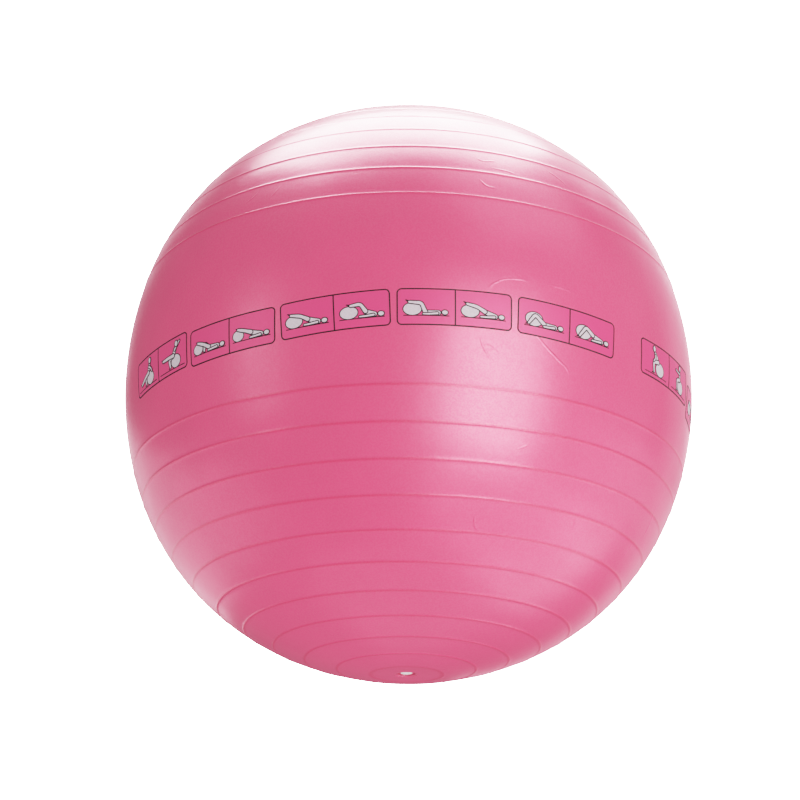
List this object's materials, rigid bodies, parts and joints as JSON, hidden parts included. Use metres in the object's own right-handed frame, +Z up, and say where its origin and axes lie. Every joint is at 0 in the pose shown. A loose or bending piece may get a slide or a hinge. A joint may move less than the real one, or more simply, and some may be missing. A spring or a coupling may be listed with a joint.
{
  "type": "exercise ball",
  "caption": "Large hollow inflatable exercise ball with moulded latitude ribs, a smooth belt round the middle and a pull-out air plug at the bottom pole.",
  "frame": {"origin": "middle of the flat on which the ball rests, at its bottom pole, on the valve's axis", "axes": "+Z up along the valve's axis and the axis of all the ribs, from the plug at the bottom pole to the top pole; -Y is the front, on which the middle of the first row of printed panels lies"},
  "size_m": [0.65, 0.65, 0.6582],
  "materials": {
    "skin": "satin",
    "seat": "satin",
    "plug": "satin",
    "print_line": "satin",
    "print_fill": "satin"
  },
  "bodies": {
    "ball": {"ball_shell": "skin", "valve_seat": "seat"},
    "plug": {"valve_plug": "plug"}
  },
  "joints": [
    {"name": "plug_pull", "type": "slide", "parent": "ball", "child": "plug", "axis": [0, 0, -1], "range_m": [0, 0.03]}
  ]
}
